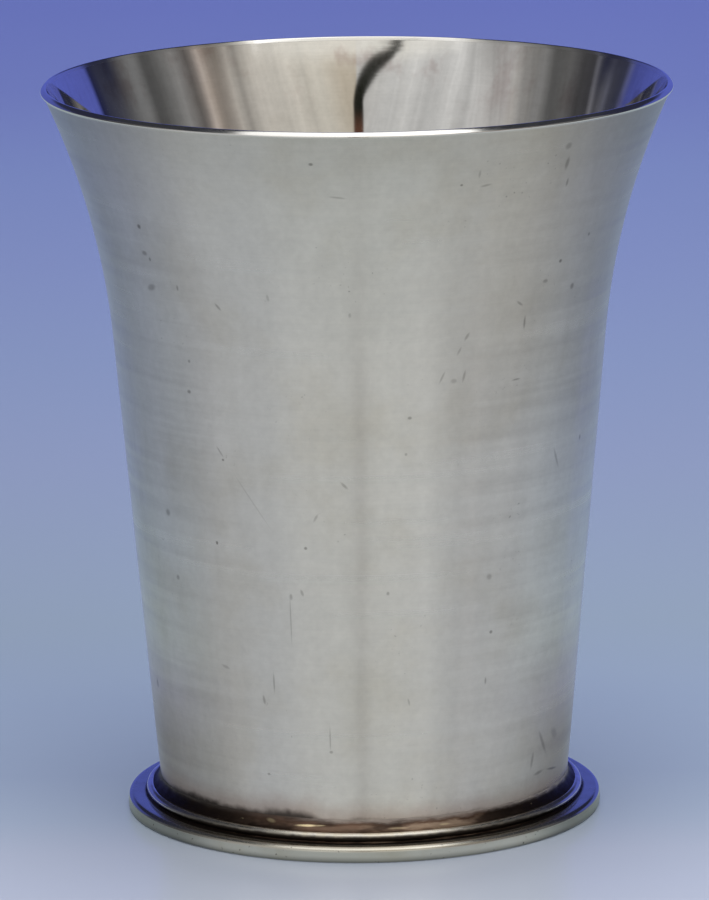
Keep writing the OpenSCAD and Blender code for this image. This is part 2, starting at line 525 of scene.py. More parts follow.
def turning_tree():
    """Turns a line of points, radius along X and height along Z, round the Z axis."""
    tree = bpy.data.node_groups.get("Turning")
    if tree:
        return tree
    tree = bpy.data.node_groups.new("Turning", "GeometryNodeTree")
    for name, kind in TURNING_INPUTS:
        tree.interface.new_socket(name, in_out="INPUT", socket_type="NodeSocket" + kind)
    tree.interface.new_socket("Piece", in_out="OUTPUT", socket_type="NodeSocketGeometry")
    n = Nodes(tree)
    given = n.add("NodeGroupInput").outputs
    section = given["Section"]

    def next_shape(kind, before, inputs=None, **settings):
        """The geometry that a node makes from the geometry before it."""
        return n.out("GeometryNode" + kind, 0, {0: before, **(inputs or {})}, **settings)

    def named(name, kind):
        return n.out("GeometryNodeInputNamedAttribute", "Attribute", {"Name": name},
                     data_type=kind)

    def over(a, b):
        return n.out("FunctionNodeCompare", "Result", {"A": a, "B": b}, data_type="FLOAT",
                     operation="GREATER_THAN")

    def sampled(kind, value):
        return n.out("GeometryNodeSampleIndex", "Value", {
            "Geometry": section, "Value": value, "Index": n.math("ROUND", row)},
            data_type=kind, domain="POINT")

    count = n.out("GeometryNodeAttributeDomainSize", "Point Count", {"Geometry": section},
                  component="MESH")
    shape = n.out("GeometryNodeMeshGrid", "Mesh", {
        "Size X": 1.0, "Size Y": 1.0, "Vertices X": n.plus(given["Steps"], 1.0),
        "Vertices Y": count})
    position = n.out("GeometryNodeInputPosition", 0)
    flat = n.split(position)
    around = n.plus(flat["X"], 0.5)
    row = n.times(n.plus(flat["Y"], 0.5), n.minus(count, 1.0))
    along = sampled("FLOAT", named("along", "FLOAT"))
    shape = next_shape("StoreNamedAttribute", shape, {
        "Name": UV_MAP, "Value": n.join(around, along, 0.0)}, data_type="FLOAT2", domain="CORNER")
    shape = next_shape("StoreNamedAttribute", shape, {
        "Name": "inside", "Value": over(row, given["Inner From"])},
        data_type="BOOLEAN", domain="FACE")
    place = n.split(sampled("FLOAT_VECTOR", position))
    turn = n.times(n.minus(around, 0.5), math.tau)
    shape = next_shape("SetPosition", shape, {"Position": n.join(
        n.times(place["X"], n.math("SINE", turn)),
        n.times(place["X"], n.math("COSINE", turn), -1.0), place["Z"])})
    shape = next_shape("MergeByDistance", shape, {"Distance": WELD})
    dent = n.fit(n.noise(position, given["Dents Per Metre"], 1.0), 0.3, 0.7)
    shape = next_shape("SetPosition", shape, {"Offset": n.out("ShaderNodeVectorMath", "Vector", {
        0: n.out("GeometryNodeInputNormal", "Normal"),
        "Scale": n.times(dent, given["Dent Depth"], -1.0)}, operation="SCALE")})
    shape = next_shape("SetShadeSmooth", shape, {"Shade Smooth": True}, domain="FACE")
    sharp = over(n.out("GeometryNodeInputMeshEdgeAngle", "Unsigned Angle"), given["Sharp Angle"])
    shape = next_shape("SetShadeSmooth", shape, {"Selection": sharp, "Shade Smooth": False},
                       domain="EDGE")
    shape = next_shape("RealizeInstances", shape)
    shape = next_shape("SetMaterial", shape, {"Material": given["Outer"]})
    shape = next_shape("SetMaterial", shape, {
        "Material": given["Inner"], "Selection": named("inside", "BOOLEAN")})
    n.add("NodeGroupOutput", {"Piece": shape})
    return tree


def section_mesh(name, points):
    """A line of points as a mesh, with each point's share of the way along it."""
    mesh = bpy.data.meshes.new(name)
    mesh.from_pydata([(p.x, 0.0, p.y) for p in points],
                     [(i, i + 1) for i in range(len(points) - 1)], [])
    steps = [0.0] + [(b - a).length for a, b in zip(points, points[1:])]
    along = mesh.attributes.new("along", "FLOAT", "POINT")
    total = sum(steps)
    run = 0.0
    for step, datum in zip(steps, along.data):
        run += step
        datum.value = run / total
    return mesh


def turn_piece(node, section, outer, inner=None, dent=0.0, dents=60.0):
    """Turns a section, and sets the piece in the place of a node of the frame.

    Where an inner finish is given, the section comes with how many points are outside.
    """
    tree = turning_tree()
    points = section(Section(sizes()))
    points, outside = points if inner else (points, len(points))
    shape = bpy.data.objects.new("shape", section_mesh("section", points))
    bpy.context.scene.collection.objects.link(shape)
    turning = shape.modifiers.new("Turning", "NODES")
    turning.node_group = tree
    values = {"Steps": sizes().turns, "Inner From": float(outside),
              "Sharp Angle": SHARP, "Dent Depth": dent, "Dents Per Metre": dents,
              "Outer": outer, "Inner": inner or outer}
    for socket in tree.interface.items_tree:
        if socket.in_out == "INPUT" and socket.name in values:
            turning[socket.identifier] = values[socket.name]
    graph = bpy.context.evaluated_depsgraph_get()
    mesh = bpy.data.meshes.new_from_object(
        shape.evaluated_get(graph), preserve_all_data_layers=True, depsgraph=graph)
    line_mesh = shape.data
    bpy.data.objects.remove(shape)
    bpy.data.meshes.remove(line_mesh)
    mesh.name = node
    piece = bpy.data.objects.new(node + "_finished", mesh)
    bpy.context.scene.collection.objects.link(piece)
    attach(piece, ROOT)
    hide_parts(node)
    return piece


# Materials

# Marks on the wall outside: degrees round from the front, height, half width, half length in
# millimetres, tilt in degrees and strength. Pits are sunk in, and scuffs are only darker.
WALL_PITS = (
    (-8.6, 90.8, 0.22, 0.2, 0, 1), (-51.6, 80.4, 0.3, 0.3, 0, 0.9),
    (-50.4, 76.2, 0.2, 0.25, 0, 0.7), (-42.3, 63.5, 0.2, 0.2, 0, 0.6),
    (-43.1, 59.5, 0.3, 0.25, 0, 0.7), (48.3, 75.6, 0.24, 0.24, 0, 0.9),
    (19.9, 87.5, 0.15, 0.15, 0, 0.9), (57.1, 78.3, 0.24, 0.22, 0, 0.6),
    (-34.3, 51.2, 0.18, 0.16, 0, 0.9), (-37.9, 40.1, 0.2, 0.24, 0, 1),
    (-13.7, 40.5, 0.22, 0.2, 0, 1), (-53.2, 34.3, 0.34, 0.34, 0, 0.5),
    (11.3, 57.4, 0.26, 0.2, 0, 0.8), (10.5, 52.7, 0.18, 0.2, 0, 0.6),
    (65.3, 51, 0.22, 0.34, 0, 0.7), (6.3, 34.6, 0.2, 0.24, 0, 0.7),
    (34.4, 28.2, 0.26, 0.22, 0, 0.8), (-8.7, 13.6, 0.26, 0.2, 0, 0.7),
    (-26.5, 10.1, 0.24, 0.16, 0, 0.7))
WALL_SCUFFS = (
    (-51.9, 76.9, 0.45, 0.3, 0, 0.6), (-51.9, 72.4, 0.8, 0.4, 20, 0.5),
    (-43.1, 73, 0.16, 0.35, 0, 0.6), (-32.4, 71.2, 0.16, 0.55, 40, 0.6),
    (-20, 72.9, 0.16, 0.45, 10, 0.4), (-4, 86.4, 0.85, 0.13, -8, 0.5),
    (-2.1, 70.9, 0.18, 0.3, 0, 0.5), (42.3, 91.2, 0.4, 0.45, 0, 0.5),
    (43.3, 88.8, 0.25, 0.8, 0, 0.6), (44.8, 86.2, 0.16, 0.55, 0, 0.6),
    (44.4, 73.3, 0.42, 0.25, 0, 0.5), (54.2, 71.8, 0.35, 0.4, 0, 0.6),
    (37.6, 70.9, 0.55, 0.16, -35, 0.5), (39.5, 68.3, 0.16, 0.8, 0, 0.6),
    (23.3, 88.8, 0.13, 0.5, 0, 0.4), (25, 87.2, 0.6, 0.15, 10, 0.5),
    (24.4, 67.4, 0.18, 0.55, -30, 0.5), (22.7, 65.6, 0.15, 0.55, -25, 0.4),
    (38.2, 61, 0.6, 0.12, 4, 0.6), (18.8, 62.4, 0.14, 0.8, -25, 0.5),
    (24.1, 62.3, 0.16, 0.75, -12, 0.5), (21.6, 61.8, 0.4, 0.3, 0, 0.4),
    (-35, 52.2, 0.12, 0.75, 35, 0.5), (-27, 46.2, 0.1, 3.9, 35, 0.25),
    (-4, 48.8, 0.18, 0.6, 45, 0.6), (-11, 44.5, 0.16, 0.6, -30, 0.5),
    (-17.9, 34, 0.22, 0.4, 0, 0.6), (-18.2, 31, 0.09, 3.2, 0, 0.5), (-15, 34.6, 0.2, 0.45, 20, 0.6),
    (-55, 42.7, 0.45, 0.45, 0, 0.5), (54, 49.4, 0.2, 1.5, 25, 0.4), (33.1, 35.6, 0.4, 0.4, 30, 0.4),
    (-23.6, 22.4, 0.12, 1.3, 0, 0.6), (-26.7, 20, 0.2, 0.6, 10, 0.6),
    (-8.9, 15.4, 0.1, 1.5, 0, 0.6), (-38, 23.7, 0.7, 0.2, -15, 0.4),
    (-72.5, 18.2, 0.4, 0.6, 0, 0.6), (33.4, 21.8, 0.16, 0.45, 0, 0.6),
    (11.8, 20.1, 0.14, 0.5, 15, 0.5), (57.4, 11.4, 0.3, 2, 35, 0.45),
    (52.8, 9.4, 0.28, 1.1, -10, 0.45), (56.5, 7.4, 1.2, 0.22, 4, 0.5),
    (64.5, 7.1, 1.7, 0.16, -8, 0.7), (64, 11.9, 1.2, 0.6, -30, 0.35))
# Clean flecks in the foot's solder, in the same way
SOLDER_FLECKS = (
    (-15.9, 3.72, 1.6, 0.13, 2, 0.95), (-12.6, 3.78, 0.9, 0.09, 3, 0.5),
    (-26.4, 3.95, 0.7, 0.24, -8, 0.3), (22, 3.5, 0.8, 0.1, 0, 0.3), (9, 3.5, 1.4, 0.1, 0, 0.25))
# Painted shade and a bluish painted reflection on the wall's sides, by height in millimetres
WALL_SIDE_PAINTED_SHADE = (
    (0, (0.50, 0.43, 0.41)), (11, (0.48, 0.40, 0.385)), (18, (0.76, 0.69, 0.79)),
    (26, (1.0, 1.0, 1.0)), (38, (0.86, 0.88, 0.98)), (50, (0.73, 0.73, 0.87)),
    (64, (0.65, 0.65, 0.80)), (76, (0.53, 0.53, 0.71)), (86, (0.46, 0.46, 0.69)),
    (95, (0.36, 0.38, 0.58)))
# Millimetres round the wall for a degree, where its radius is 30
MARK_DEGREE = 30 * math.pi / 180
# Where a mark ends and where it is full, in half sizes from its middle
MARK_EDGE = (1.4, 0.4)
# Degrees round to the cup's left side
LEFT_SIDE = -90.0
# Turn of the brushing, as a share of a whole turn
BRUSHING_TURN = 0.25


class Finish(Nodes):
    """A new material, with the place on the cup at hand in millimetres."""

    def __init__(self, name):
        self.material = bpy.data.materials.new(name)
        self.material.use_nodes = True
        super().__init__(self.material.node_tree)
        self.tree.nodes.clear()
        metres = self.out("ShaderNodeTexCoord", "Object")
        self.place = self.stretched(metres, 1 / MM, 1 / MM, 1 / MM)
        self.x, self.y, self.height = self.split(self.place)
        self.angle = self.turned(self.x, self.y)
        level = self.join(self.x, self.y, 0.0)
        self.way, self.radius = self.vector("NORMALIZE", level), self.size(level)

    def at_sides(self):
        """Nought in front of the cup, and one at its sides and behind."""
        return self.fit(self.apart(self.angle), 42, 78)

    def lines(self, long_way, tall, detail=2.0):
        """Noise drawn out round the cup, so long and so tall in millimetres."""
        return self.noise(self.stretched(self.place, 1 / long_way, 1 / long_way, 1 / tall),
                          detail=detail)

    def marks(self, marks):
        """Small soft marks at their places on the wall, as one strength."""
        flat = self.join(self.times(self.angle, MARK_DEGREE), self.height, 0.0)
        total = 0.0
        for turn, height, wide, tall, tilt, strength in marks:
            near = self.out("ShaderNodeMapping", 0, {
                "Vector": flat, "Location": (turn * MARK_DEGREE, height, 0.0),
                "Rotation": (0.0, 0.0, math.radians(tilt)), "Scale": (wide, tall, 1.0)},
                vector_type="TEXTURE")
            total = self.most(total, self.fit(self.size(near), *MARK_EDGE, 0.0, strength))
        return total

    def bump(self, height, depth):
        """A normal from a height from nought to one, so deep in millimetres."""
        return self.out("ShaderNodeBump", 0, {
            "Height": height, "Strength": 1.0, "Distance": depth * MM})

    def metal(self, base, roughness, normal, anisotropic=0.0):
        """Ends the material in a metal, brushed round the cup where it is anisotropic."""
        shader = self.add("ShaderNodeBsdfPrincipled", {
            "Base Color": base, "Metallic": 1.0, "Roughness": roughness, "Normal": normal})
        if anisotropic:
            shader.inputs["Anisotropic"].default_value = anisotropic
            shader.inputs["Anisotropic Rotation"].default_value = BRUSHING_TURN
            self.feed(shader.inputs["Tangent"],
                      self.out("ShaderNodeTangent", 0, direction_type="UV_MAP", uv_map=UV_MAP))
        self.add("ShaderNodeOutputMaterial", {"Surface": shader.outputs[0]})
        return self.material


def wall_outside():
    """Satin silver with clouds, pits and scuffs, painted shade at the sides and brown over the
    foot.
    """
    f = finish()
    n = Finish("wall_satin")
    fine = n.lines(14, 0.28, 3.0)
    broad = n.lines(40, 1.2)
    streaks = n.noise(n.stretched(n.place, 0.45, 0.45, 0.02), detail=3.0)
    clouds = n.noise(n.place, 0.075, 4.0, 0.55)
    mottle = n.noise(n.place, 0.32, 3.0, 0.6)
    grain = n.noise(n.place, 1.1, 3.0, 0.6)
    pits = n.marks(WALL_PITS)
    scuffs = n.marks(WALL_SCUFFS)
    base = n.mix(n.fit(clouds, 0.44, 0.72, 0.0, 0.30), f.silver, f.tarnish)
    shade = 1.0
    for texture, depth in ((fine, 0.016), (grain, 0.040), (broad, 0.010), (mottle, 0.030),
                           (streaks, 0.025)):
        shade = n.plus(shade, n.even(texture, 0.25, 0.75, -depth, depth))
    base = n.tinted(base, shade)
    base = n.tinted(base, n.fit(n.height, 84, 93, 1.0, 0.93))
    # Painted shade on the upper right, and painted shade with a bluish painted reflection at the
    # sides, that clears again behind
    apart = n.apart(n.angle)
    fade = n.fit(apart, 92, 128, 1.0, 0.0)
    upper_right_shade = n.times(n.fit(n.angle, 2, 44), n.fit(n.height, 44, 74), fade)
    base = n.mix(upper_right_shade, base, n.tinted(base, f.painted_dusk))
    sides = n.times(n.fit(apart, 26, 80), n.even(fade, 0.0, 1.0, 0.15, 1.0))
    base = n.tinted(base, n.mix(sides, WHITE, n.stops(n.height, WALL_SIDE_PAINTED_SHADE, 95)))
    # A ragged edge over the foot's solder, brown and then black
    ragged = n.plus(n.height, n.even(mottle, 0.2, 0.8, -0.5, 0.5),
                    n.even(clouds, 0.3, 0.7, -0.6, 0.6),
                    n.fit(n.apart(n.angle, LEFT_SIDE), 62, 86, -0.6, 0.0))
    base = n.mix(n.fit(ragged, 7.6, 4.2, 0.0, 0.55), base, f.singe)
    specks = n.times(n.fit(n.noise(n.place, 2.1, 1.0), 0.70, 0.80),
                     n.fit(n.noise(n.place, 0.11, 2.0), 0.52, 0.70, 0.0, 0.3))
    dark = n.most(n.times(n.most(pits, scuffs), 0.5), specks, n.fit(ragged, 5.0, 3.8, 0.0, 0.85))
    base = n.mix(dark, base, f.oxide)
    rough = n.plus(n.even(broad, 0.3, 0.7, f.satin - 0.03, f.satin + 0.03), n.times(dark, 0.2))
    height = n.minus(n.plus(n.times(fine, 0.15), n.times(broad, 0.5)), pits)
    return n.metal(base, rough, n.bump(height, 0.005), f.brushing)


def wall_inside():
    """Brighter silver with faint rays, smudged near the mouth and dark towards the bottom."""
    f = finish()
    n = Finish("wall_bright")
    fine = n.lines(18, 0.3, 3.0)
    clouds = n.noise(n.place, 0.06, 4.0, 0.55)
    rays = n.noise(n.vector("ADD", n.stretched(n.way, 9, 9, 9),
                            n.stretched(n.place, 0.0, 0.0, 0.01)), detail=3.0)
    warm = n.most(n.fit(clouds, 0.52, 0.74, 0.0, 0.4), n.fit(rays, 0.55, 0.75, 0.0, 0.3))
    base = n.mix(warm, f.silver, f.tarnish)
    grain = n.noise(n.place, 0.8, 3.0, 0.6)
    base = n.tinted(base, n.plus(n.even(fine, 0.25, 0.75, -0.02, 0.02),
                                 n.even(grain, 0.25, 0.75, 0.95, 1.05)))
    smudge = n.noise(n.stretched(n.place, 0.14, 0.14, 0.10), detail=4.0, roughness=0.6)
    smudge = n.times(n.fit(smudge, 0.54, 0.70), n.fit(n.height, 85, 90, 0.1, 0.5))
    base = n.mix(smudge, base, f.smudge)
    low = n.fit(n.plus(n.height, n.times(clouds, 5.0)), 10.0, 6.0, 0.0, 0.6)
    base = n.mix(low, base, f.oxide)
    rough = n.plus(n.even(clouds, 0.3, 0.7, f.bright - 0.01, f.bright + 0.03),
                   n.times(low, 0.25))
    return n.metal(base, rough, n.bump(fine, 0.001), f.brushing_in)


def lip_bright():
    """Bright wire with fine scratches."""
    f = finish()
    n = Finish("lip_bright")
    scratches = n.lines(6, 0.12, 2.0)
    worn = n.noise(n.place, 0.4, 3.0)
    base = n.mix(n.fit(worn, 0.55, 0.8, 0.0, 0.35), f.silver, f.tarnish)
    rough = n.even(worn, 0.3, 0.7, f.wire - 0.03, f.wire + 0.05)
    return n.metal(base, rough, n.bump(scratches, 0.002))


def bead_bright():
    """Warm in front, brighter at the sides, and dark low down: oxide, with painted shade in front.
    """
    f = finish()
    n = Finish("bead_bright")
    scratches = n.lines(8, 0.12, 2.0)
    patches = n.noise(n.place, 0.7, 3.0)
    sides = n.at_sides()
    edge = n.plus(n.height, n.times(patches, 0.35), n.times(sides, 0.5))
    # Oxide low on the bead by the groove, with painted shade; it reaches higher in front than at
    # the sides
    dark = n.fit(edge, 3.25, 2.78, 0.0, 0.98)
    warm = n.minus(n.fit(patches, 0.35, 0.7, 0.5, 1.0), n.times(sides, 0.5))
    base = n.mix(warm, f.silver, f.tarnish)
    base = n.mix(dark, base, f.oxide)
    rough = n.plus(n.times(sides, -0.12), f.wire + 0.13, n.times(dark, 0.2))
    return n.metal(base, rough, n.bump(scratches, 0.002))


def band_satin():
    """Satin with small pits, a paler upper edge, a dark groove inside it, and painted shade aside
    and low down.
    """
    f = finish()
    n = Finish("band_satin")
    fine = n.lines(10, 0.2, 3.0)
    clouds = n.noise(n.place, 0.25, 4.0, 0.6)
    pits = n.fit(n.noise(n.place, 2.6, 1.0), 0.70, 0.78, 0.0, 0.7)
    sides = n.at_sides()
    base = n.mix(n.fit(clouds, 0.35, 0.75, 0.0, 0.45), f.silver, f.tarnish)
    base = n.tinted(base, f.band_tint)
    # Painted shade: the whole band darker, and darkest at its lower edge
    painted_shade_height = n.plus(n.height, n.times(clouds, 0.3))
    base = n.tinted(base, n.fit(painted_shade_height, 1.1, 0.2, 0.78, 0.36))
    edge = n.fit(n.height, 1.3, 1.7)
    # Painted shade on the band's sides, lighter again behind and none on its upper edge
    painted_side_shade = n.most(n.fit(n.apart(n.angle, 3.0), 34, 56, 1.0, 0.48),
                  n.fit(n.apart(n.angle), 92, 128, 0.0, 0.9), edge)
    base = n.tinted(base, painted_side_shade)
    # Oxide in the groove with painted shade, reaching less far out at the sides
    groove = n.plus(n.radius, n.times(clouds, 0.3), n.times(sides, 0.8))
    groove = n.times(n.fit(groove, 29.8, 29.35), n.fit(n.height, 1.8, 1.95))
    dark = n.most(pits, groove)
    base = n.mix(n.times(edge, n.minus(1.0, sides), 0.6), base, f.tarnish)
    base = n.mix(dark, base, f.oxide)
    rough = n.minus(0.32, n.times(edge, n.fit(sides, 0.0, 1.0, 0.08, 0.20)))
    rough = n.plus(rough, n.times(dark, 0.3))
    return n.metal(base, rough, n.bump(n.minus(fine, pits), 0.004))


def bottom_satin():
    """Dull satin with turning rings, tarnished to its edge."""
    f = finish()
    n = Finish("bottom_satin")
    rings = n.noise(n.join(n.times(n.radius, 2.2), n.height, 0.0), detail=3.0)
    clouds = n.noise(n.place, 0.08, 4.0, 0.6)
    edge = n.fit(n.plus(n.radius, n.times(clouds, 6.0)), 25.0, 30.0, 0.0, 0.6)
    base = n.mix(n.fit(clouds, 0.4, 0.7, 0.1, 0.7), f.silver, f.tarnish)
    base = n.mix(edge, base, f.oxide)
    return n.metal(base, n.even(clouds, 0.3, 0.7, 0.22, 0.36), n.bump(rings, 0.01))


def solder_dark():
    """Lumpy and black to brown, worn paler on the bead in front and on the wall, with flecks."""
    f = finish()
    n = Finish("solder_dark")
    lumps = n.noise(n.stretched(n.place, 0.5, 0.5, 2.0), detail=3.0, roughness=0.6)
    patches = n.noise(n.stretched(n.place, 0.16, 0.16, 0.5), detail=3.0)
    # Browner in front and black at the sides: the solder's own brown, with painted shade at the
    # sides
    front = n.fit(n.apart(n.angle, 4.0), 46, 22)
    brown = n.times(n.fit(patches, 0.36, 0.62, 0.15, 0.9), n.fit(front, 0.0, 1.0, 0.12, 1.0))
    base = n.mix(brown, f.oxide, f.solder)
    worn = n.plus(n.height, n.even(lumps, 0.3, 0.7, -0.35, 0.35))
    worn = n.times(n.fit(worn, 4.1, 3.4), n.fit(patches, 0.42, 0.56, 0.1, 1.0),
                   n.fit(n.angle, -3, 8, 0.25, 1.0), front)
    base = n.mix(worn, base, f.stain)
    upper = n.plus(n.height, n.even(lumps, 0.3, 0.7, -0.15, 0.15))
    upper = n.times(n.fit(upper, 3.9, 4.7),
                    n.fit(n.apart(n.angle, LEFT_SIDE), 66, 86, 0.1, 1.0))
    base = n.mix(upper, base, f.rubbed)
    flecks = n.times(n.fit(lumps, 0.62, 0.70), n.fit(patches, 0.55, 0.65))
    flecks = n.most(flecks, n.marks(SOLDER_FLECKS))
    base = n.mix(flecks, base, f.fleck)
    return n.metal(base, n.minus(0.45, n.times(flecks, 0.2)), n.bump(lumps, 0.08))


# Stage

FLOOR_SIDES = 96
# Tones of the paper by its distance in millimetres, from so far in front of the cup to behind it,
# with painted shade where they fall steeply beside the cup
PAPER_FRONT = 400.0
PAPER_STOPS_WITH_SHADE = (
    (0, (0.60, 0.60, 0.58)), (330, (0.59, 0.63, 0.71)), (356, (0.565, 0.620, 0.745)),
    (376, (0.525, 0.585, 0.700)), (392, (0.440, 0.525, 0.640)), (415, (0.360, 0.440, 0.560)),
    (455, (0.322, 0.400, 0.510)), (500, (0.312, 0.388, 0.458)), (612, (0.287, 0.345, 0.475)),
    (695, (0.255, 0.320, 0.470)), (792, (0.227, 0.283, 0.463)), (895, (0.197, 0.252, 0.445)),
    (1000, (0.160, 0.197, 0.416)), (1130, (0.140, 0.172, 0.410)), (2000, (0.12, 0.14, 0.39)))
# Distance from the cup, in millimetres, over which the paper fades out
PAPER_FADE = (1800, 5000)
# Brightness of the tall cards round the cup, in degrees from the front on either side
RIGHT_CARDS = (
    (0, 0.46), (7, 0.53), (13, 0.56), (17.5, 0.50), (24, 0.59), (29, 0.50), (36, 0.53),
    (41, 0.51), (44, 0.43), (47.5, 0.28), (52, 0.39), (55, 0.25), (59, 0.20), (62, 0.26),
    (65.5, 0.40), (69, 0.17), (72, 0.10), (76, 0.16), (80, 0.21), (84, 0.15), (91, 0.08),
    (96, 0.07), (99, 0.13), (103, 0.165), (107, 0.13), (114, 0.08), (122, 0.065), (133, 0.05),
    (136, 0.36), (180, 0.46))
LEFT_CARDS = (
    (0, 0.50), (8, 0.54), (14, 0.54), (19, 0.60), (25, 0.53), (28, 0.49), (34, 0.54),
    (39, 0.63), (44, 0.54), (47.5, 0.45), (51, 0.51), (56, 0.46), (61, 0.36), (66, 0.39),
    (70.5, 0.40), (75, 0.25), (79, 0.20), (84, 0.18), (89, 0.08), (97, 0.10), (103, 0.05),
    (109, 0.045), (111, 0.17), (113.5, 0.065), (119, 0.12), (122, 0.06), (128, 0.06),
    (131, 0.22), (145, 0.31), (180, 0.46))
# Tint of the cards, warm in front and violet behind
CARD_TINTS = (
    (0, (1.0, 0.90, 0.75)), (10, (1.0, 0.955, 0.86)), (30, (1.0, 0.96, 0.89)),
    (50, (1.0, 0.95, 0.89)), (62, (1.0, 0.87, 0.78)), (72, (1.0, 0.90, 0.87)),
    (84, (1.0, 0.94, 0.93)), (97, (0.96, 0.94, 1.0)), (115, (0.80, 0.82, 1.0)),
    (128, (0.50, 0.55, 1.0)), (134, (0.21, 0.26, 1.0)), (180, (0.185, 0.24, 1.0)))
# What lies low round the cup, in degrees from the front on either side, then lower still
LOW_STOPS = (
    (0, (0.402, 0.421, 0.424)), (25, (0.396, 0.415, 0.422)), (60, (0.445, 0.470, 0.495)),
    (80, (0.465, 0.487, 0.510)), (100, (0.430, 0.473, 0.500)), (120, (0.378, 0.427, 0.464)),
    (140, (0.325, 0.378, 0.388)), (160, (0.330, 0.400, 0.443)), (180, (0.31, 0.37, 0.50)))
LOWER_STOPS = (
    (0, (0.466, 0.490, 0.485)), (60, (0.410, 0.435, 0.475)), (80, (0.385, 0.405, 0.420)),
    (100, (0.32, 0.345, 0.37)), (120, (0.265, 0.285, 0.31)), (140, (0.225, 0.255, 0.29)),
    (160, (0.22, 0.27, 0.34)), (180, (0.24, 0.29, 0.42)))
# Tones of the room: the paler cards, the low card in front, the dark behind, what lies close by,
# and what hangs over the front, the sides and the back
PALE_CARD = (0.95, 0.97, 1.0)
FRONT_CARD = (0.70, 0.69, 0.66)
DARK_BEHIND = (0.02, 0.022, 0.045)
CLOSE_BY = (0.350, 0.370, 0.362)
OVER_FRONT = (0.80, 0.79, 0.75)
OVER_SIDES = (0.065, 0.07, 0.075)
OVER_BACK = (0.03, 0.032, 0.04)
# Tones of the upright stroke, at its foot, up to its bend and above
STROKE_TONES = (0.39, 0.405, 0.405), (0.10, 0.045, 0.028), (0.010, 0.011, 0.008)


def grey(stops):
    """Stops of one brightness each, as grey ones."""
    return [(place, (tone, tone, tone)) for place, tone in stops]


class Room(Nodes):
    """A new world, with the way that is looked along at hand. Angles are in degrees."""

    def __init__(self, name):
        world = bpy.data.worlds.new(name)
        world.use_nodes = True
        bpy.context.scene.world = world
        super().__init__(world.node_tree)
        self.tree.nodes.clear()
        self.x, self.y, self.z = self.split(self.out("ShaderNodeTexCoord", "Generated"))
        self.turn = self.turned(self.x, self.y)
        self.rise = self.math("DEGREES", self.math("ARCSINE", self.z))
        self.aside = self.apart(self.turn)
        self.right = self.math("GREATER_THAN", self.x, 0.0)


def tall_cards(n):
    """Tall streaked cards that lean with their height, warm in front and violet behind."""
    lean = n.times(0.65, n.most(n.right, n.fit(n.aside, 60, 45)))
    across = n.minus(n.aside, n.times(lean, n.minus(n.most(n.rise, 10.0), 25.0)))
    cards = n.mix(n.right, n.stops(across, grey(LEFT_CARDS), 180),
                  n.stops(across, grey(RIGHT_CARDS), 180))
    ramp = n.stops(across, CARD_TINTS, 180)
    paler = n.mix(n.right, n.fit(across, 110, 90, 0.0, 0.8), n.fit(across, 66, 82, 0.0, 0.8))
    tint = n.mix(n.fit(across, 106, 118), n.mix(paler, ramp, PALE_CARD), ramp)
    streaks = n.noise(n.join(n.times(across, 0.45), n.right, 0.0), detail=4.0, roughness=0.65)
    fall = n.mix(n.fit(n.aside, 42, 58), n.even(n.rise, 29, 38, 0.95, 1.08),
                 n.even(n.rise, 29, 38, 1.10, 0.82))
    for tone in (tint, n.even(streaks, 0.3, 0.7, 0.90, 1.10), fall):
        cards = n.tinted(cards, tone)
    front = n.times(n.fit(n.aside, 42, 28), n.fit(n.rise, 22, 16))
    behind = n.times(n.fit(n.aside, 108, 116), n.fit(n.rise, 14, 20))
    return n.mix(behind, n.mix(front, cards, FRONT_CARD), DARK_BEHIND)


def low_light(n):
    """What lies low round the cup, a little brighter on the right."""
    low = n.mix(n.fit(n.rise, -24, -36), n.stops(n.aside, LOW_STOPS, 180),
                n.stops(n.aside, LOWER_STOPS, 180))
    low = n.mix(n.fit(n.rise, -38, -60), low, CLOSE_BY)
    return n.tinted(low, n.even(n.x, -1.0, 1.0, 0.95, 1.09))


def overhead(n):
    """Pale over the front, dark over the sides and darker over the back."""
    dark = n.mix(n.fit(n.aside, 65, 85), OVER_SIDES, OVER_BACK)
    return n.mix(n.fit(n.aside, 46, 66), OVER_FRONT, dark)


def upright_stroke(n, tone):
    """A dark stroke in front, over a tone. It broadens and bends aside towards its top."""
    foot, stem, top = STROKE_TONES
    bend = n.math("POWER", n.most(n.minus(n.rise, 31.0), 0.0), 1.55)
    centre = n.plus(n.fit(n.rise, -10, 0, -0.1, 0.9), n.times(0.53, bend),
                    n.even(n.rise, 38.6, 41.6, 0.0, 5.0))
    half = n.times(n.fit(n.rise, 31, 36.5, 2.2, 4.9), n.fit(n.rise, -10, 0, 0.6, 1.0),
                   n.fit(n.rise, 37.2, 42.5, 1.0, 0.25))
    ink = n.mix(n.fit(n.rise, 0, -10), n.mix(n.fit(n.rise, 24, 30), stem, top), foot)
    off = n.math("DIVIDE", n.math("ABSOLUTE", n.plus(n.turn, centre)), half)
    return n.mix(n.times(n.fit(off, 1.2, 0.75), n.fit(n.rise, 43, 41.5)), tone, ink)


def soft_box(n, tone):
    """A soft box overhead, over a tone, narrower behind and brighter on the right."""
    up = n.most(n.z, 0.01)
    flat_x = n.math("DIVIDE", n.x, up)
    flat_y = n.math("DIVIDE", n.y, up)
    reach = n.plus(n.math("ABSOLUTE", flat_x), n.times(flat_y, 0.55))
    box = n.times(n.fit(reach, 0.48, 0.38), n.fit(flat_y, -1.0, -0.85), n.fit(flat_y, 0.7, 0.5),
                  n.fit(n.z, 0.1, 0.2))
    return n.mix(box, tone, n.times(stage().lamp, n.even(flat_x, -0.8, 0.8, 0.75, 1.25)))


